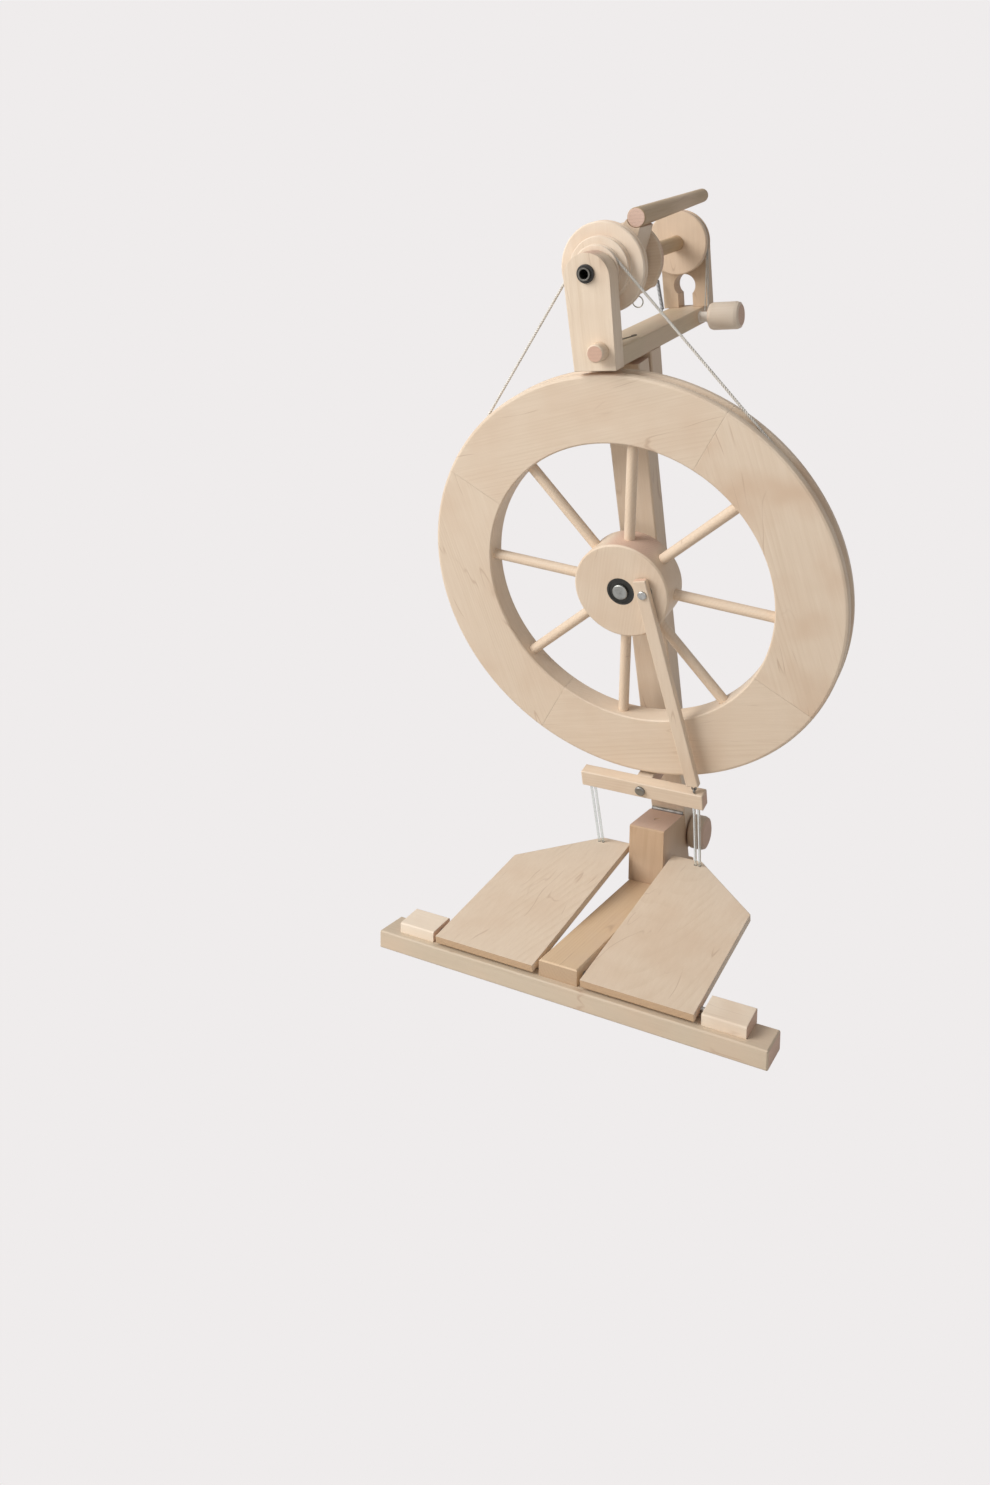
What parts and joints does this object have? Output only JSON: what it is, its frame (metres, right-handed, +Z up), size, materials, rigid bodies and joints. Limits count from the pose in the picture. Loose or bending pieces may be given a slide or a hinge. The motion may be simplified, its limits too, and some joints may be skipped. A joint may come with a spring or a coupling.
{
  "type": "upright spinning wheel",
  "caption": "Upright wooden spinning wheel with two treadles, a leaning post that folds, a spoked drive wheel, a flyer with bobbin and a cord brake.",
  "frame": {"origin": "middle of the bounding box on the floor", "axes": "+X to the right seen from the orifice side, +Y from the front bar to the back, +Z up"},
  "size_m": [0.483, 0.352, 0.8544],
  "materials": {
    "front_bar": "clear oil",
    "spine": "clear oil",
    "hinge_block": "clear oil",
    "pivot_block_right": "clear oil",
    "pivot_block_left": "clear oil",
    "treadle_rods": "steel",
    "hinge_leaf_lower": "steel",
    "hinge_leaf_upper": "steel",
    "post": "clear oil",
    "axle": "steel",
    "axle_spacer": "steel",
    "rocker_block": "clear oil",
    "rocker_bolt": "steel",
    "drive_band": "twisted cotton cord",
    "tilt_plates": "steel",
    "tilt_pin": "steel",
    "lock_bolt": "steel",
    "lock_knob": "clear oil",
    "rim_piece_1": "clear oil",
    "rim_piece_2": "clear oil",
    "rim_piece_3": "clear oil",
    "rim_piece_4": "clear oil",
    "spokes": "clear oil",
    "hub": "clear oil",
    "bearings": "steel",
    "crank_boss": "steel",
    "rocker": "clear oil",
    "rocker_eye": "steel",
    "footman": "clear oil",
    "crank_screw": "steel",
    "footman_eye": "steel",
    "treadle_right": "clear oil",
    "treadle_cord_right": "clear cord",
    "treadle_left": "clear oil",
    "treadle_cord_left": "clear cord",
    "stem": "clear oil",
    "head_bar": "clear oil",
    "front_maiden": "clear oil",
    "rear_maiden": "clear oil",
    "orifice_bushing": "black",
    "rear_bushing": "black",
    "brake_eye_screw": "steel",
    "brake_spring": "steel",
    "brake_cord": "thin cord",
    "tension_screw": "black",
    "brake_sleeve": "white",
    "brake_knob": "clear oil",
    "orifice_tube": "steel",
    "whorl": "clear oil",
    "yoke": "clear oil",
    "round_arm": "clear oil",
    "flat_arm": "clear oil",
    "spindle": "steel",
    "sliding_hook": "steel",
    "bobbin_core": "clear oil",
    "bobbin_front_disc": "clear oil",
    "bobbin_rear_disc": "clear oil",
    "bobbin_bushings": "white",
    "hook_handle": "clear oil",
    "hook_wire": "steel"
  },
  "bodies": {
    "base": {"front_bar": "front_bar", "spine": "spine", "hinge_block": "hinge_block", "pivot_block_right": "pivot_block_right", "pivot_block_left": "pivot_block_left", "treadle_rods": "treadle_rods", "hinge_leaf_lower": "hinge_leaf_lower"},
    "post": {"hinge_leaf_upper": "hinge_leaf_upper", "post": "post", "axle": "axle", "axle_spacer": "axle_spacer", "rocker_block": "rocker_block", "rocker_bolt": "rocker_bolt", "drive_band": "drive_band", "tilt_plates": "tilt_plates", "tilt_pin": "tilt_pin"},
    "lock": {"lock_bolt": "lock_bolt", "lock_knob": "lock_knob"},
    "wheel": {"rim_piece_1": "rim_piece_1", "rim_piece_2": "rim_piece_2", "rim_piece_3": "rim_piece_3", "rim_piece_4": "rim_piece_4", "spokes": "spokes", "hub": "hub", "bearings": "bearings", "crank_boss": "crank_boss"},
    "rocker": {"rocker": "rocker", "rocker_eye": "rocker_eye"},
    "footman": {"footman": "footman", "crank_screw": "crank_screw", "footman_eye": "footman_eye"},
    "treadle_right": {"treadle_right": "treadle_right", "treadle_cord_right": "treadle_cord_right"},
    "treadle_left": {"treadle_left": "treadle_left", "treadle_cord_left": "treadle_cord_left"},
    "head": {"stem": "stem", "head_bar": "head_bar", "front_maiden": "front_maiden", "rear_maiden": "rear_maiden", "orifice_bushing": "orifice_bushing", "rear_bushing": "rear_bushing", "brake_eye_screw": "brake_eye_screw", "brake_spring": "brake_spring", "brake_cord": "brake_cord"},
    "tension_screw": {"tension_screw": "tension_screw"},
    "brake_knob": {"brake_sleeve": "brake_sleeve", "brake_knob": "brake_knob"},
    "flyer": {"orifice_tube": "orifice_tube", "whorl": "whorl", "yoke": "yoke", "round_arm": "round_arm", "flat_arm": "flat_arm", "spindle": "spindle"},
    "sliding_hook": {"sliding_hook": "sliding_hook"},
    "bobbin": {"bobbin_core": "bobbin_core", "bobbin_front_disc": "bobbin_front_disc", "bobbin_rear_disc": "bobbin_rear_disc", "bobbin_bushings": "bobbin_bushings"},
    "orifice_hook": {"hook_handle": "hook_handle", "hook_wire": "hook_wire"}
  },
  "joints": [
    {"name": "post_fold", "type": "hinge", "parent": "base", "child": "post", "pos_m": [0, 0.12823, 0.1072], "axis": [1, 0, 0], "range_deg": [0, 38], "deforming": ["treadle_cord_right", "treadle_cord_left"]},
    {"name": "lock_turn", "type": "hinge", "parent": "post", "child": "lock", "pos_m": [0, 0.15497, 0.07721], "axis": [1, 0, 0], "continuous": true},
    {"name": "wheel_turn", "type": "hinge", "parent": "post", "child": "wheel", "pos_m": [0, 0.0247, 0.42444], "axis": [0, 0.9489, 0.3156], "continuous": true},
    {"name": "rocker_swing", "type": "hinge", "parent": "post", "child": "rocker", "pos_m": [0, 0.04579, 0.16209], "axis": [0, 0.9489, 0.3156], "range_deg": [-24, 24], "deforming": ["treadle_cord_right", "treadle_cord_left"]},
    {"name": "footman_swing", "type": "hinge", "parent": "rocker", "child": "footman", "pos_m": [0.06635, 0.03739, 0.17468], "axis": [0, 0.9489, 0.3156], "range_deg": [-24, 24]},
    {"name": "treadle_right_swing", "type": "hinge", "parent": "base", "child": "treadle_right", "pos_m": [0, -0.15197, 0.027], "axis": [1, 0, 0], "range_deg": [-7.2, 7.2], "deforming": ["treadle_cord_right"]},
    {"name": "treadle_left_swing", "type": "hinge", "parent": "base", "child": "treadle_left", "pos_m": [0, -0.15197, 0.027], "axis": [1, 0, 0], "range_deg": [-7.2, 7.2], "deforming": ["treadle_cord_left"]},
    {"name": "head_tilt", "type": "hinge", "parent": "post", "child": "head", "pos_m": [0, 0.01961, 0.58548], "axis": [1, 0, 0], "range_deg": [-4, 0], "deforming": ["drive_band"]},
    {"name": "tension_turn", "type": "hinge", "parent": "head", "child": "tension_screw", "pos_m": [0, 0.00455, 0.63941], "axis": [0, 0.9632, 0.2689], "continuous": true},
    {"name": "brake_turn", "type": "hinge", "parent": "head", "child": "brake_knob", "pos_m": [0, 0.12805, 0.71584], "axis": [1, 0, 0], "continuous": true, "deforming": ["brake_cord"]},
    {"name": "flyer_turn", "type": "hinge", "parent": "head", "child": "flyer", "pos_m": [0, -0.0296, 0.76174], "axis": [0, 0.9632, 0.2689], "continuous": true},
    {"name": "hook_slide", "type": "slide", "parent": "flyer", "child": "sliding_hook", "axis": [0, 0.9632, 0.2689], "range_m": [-0.045, 0.05]},
    {"name": "bobbin_turn", "type": "hinge", "parent": "flyer", "child": "bobbin", "pos_m": [0, -0.0296, 0.76174], "axis": [0, 0.9632, 0.2689], "continuous": true},
    {"name": "orifice_hook_slide", "type": "slide", "parent": "head", "child": "orifice_hook", "axis": [0, -0.9632, -0.2689], "range_m": [0, 0.075]}
  ],
  "couplings": [
    {"joint": "footman_swing", "follows": "rocker_swing", "ratio": -1},
    {"joint": "treadle_right_swing", "follows": "rocker_swing", "ratio": -0.3},
    {"joint": "treadle_left_swing", "follows": "rocker_swing", "ratio": 0.3},
    {"joint": "flyer_turn", "follows": "wheel_turn", "ratio": 10.351}
  ]
}
